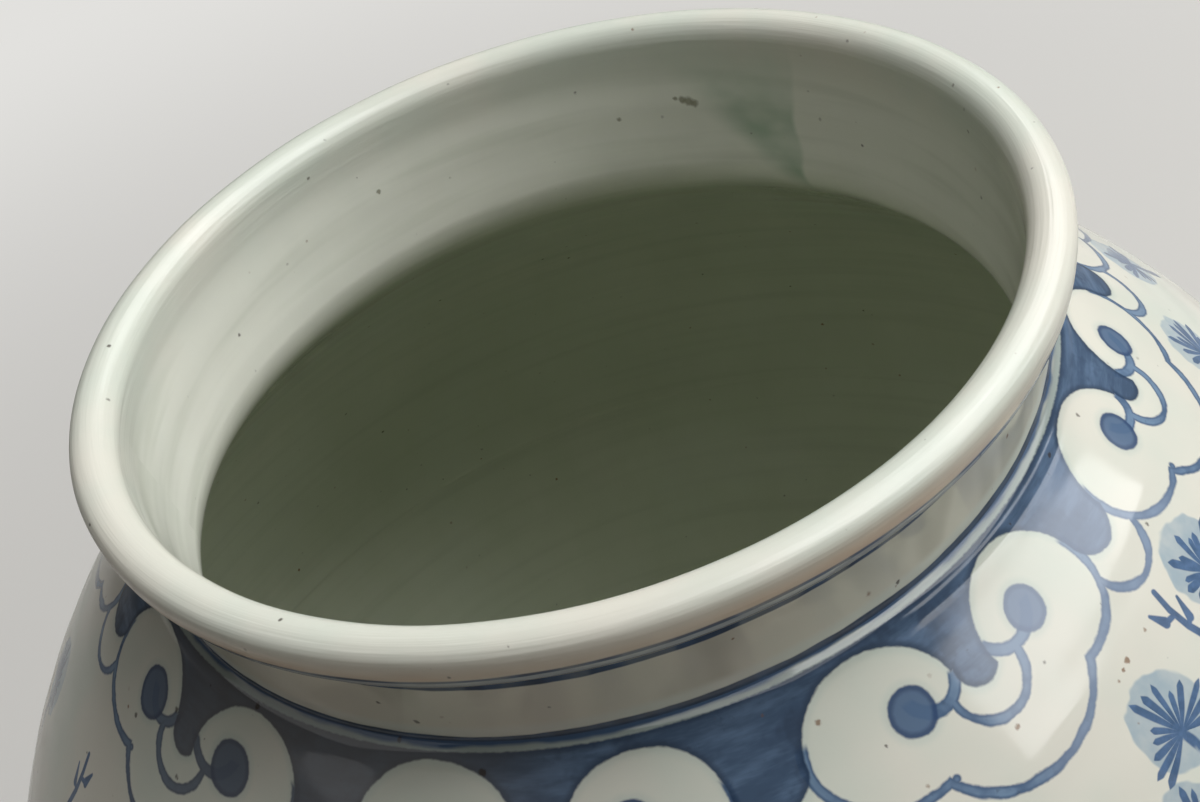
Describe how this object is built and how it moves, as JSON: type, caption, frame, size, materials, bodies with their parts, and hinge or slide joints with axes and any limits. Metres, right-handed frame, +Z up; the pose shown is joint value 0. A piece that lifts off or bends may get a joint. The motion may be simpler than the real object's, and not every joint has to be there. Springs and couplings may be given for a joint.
{
  "type": "jar",
  "caption": "Large round-shouldered glazed porcelain storage jar with a rolled lip, a short neck and a turned foot, painted in cobalt blue.",
  "frame": {"origin": "centre of the flat face of the foot ring, which the jar stands on", "axes": "+Z up along the jar's axis, out of the mouth"},
  "size_m": [0.3284, 0.3284, 0.39],
  "materials": {
    "glazed_porcelain": "glossy clear glaze with a faint green tinge over white porcelain, painted in cobalt blue under the glaze",
    "bare_porcelain": "unglazed fired clay, matt, warm buff, with grit from the kiln",
    "joining_slip": "fired joining slip under the same glaze"
  },
  "bodies": {
    "root": {"foot_ring": "bare_porcelain", "base_disc": "glazed_porcelain", "lower_bowl": "glazed_porcelain", "belly_slip_seam": "joining_slip", "upper_bowl": "glazed_porcelain", "neck_seam_ring": "joining_slip", "neck_collar": "glazed_porcelain", "rim_coil": "glazed_porcelain"}
  },
  "joints": []
}
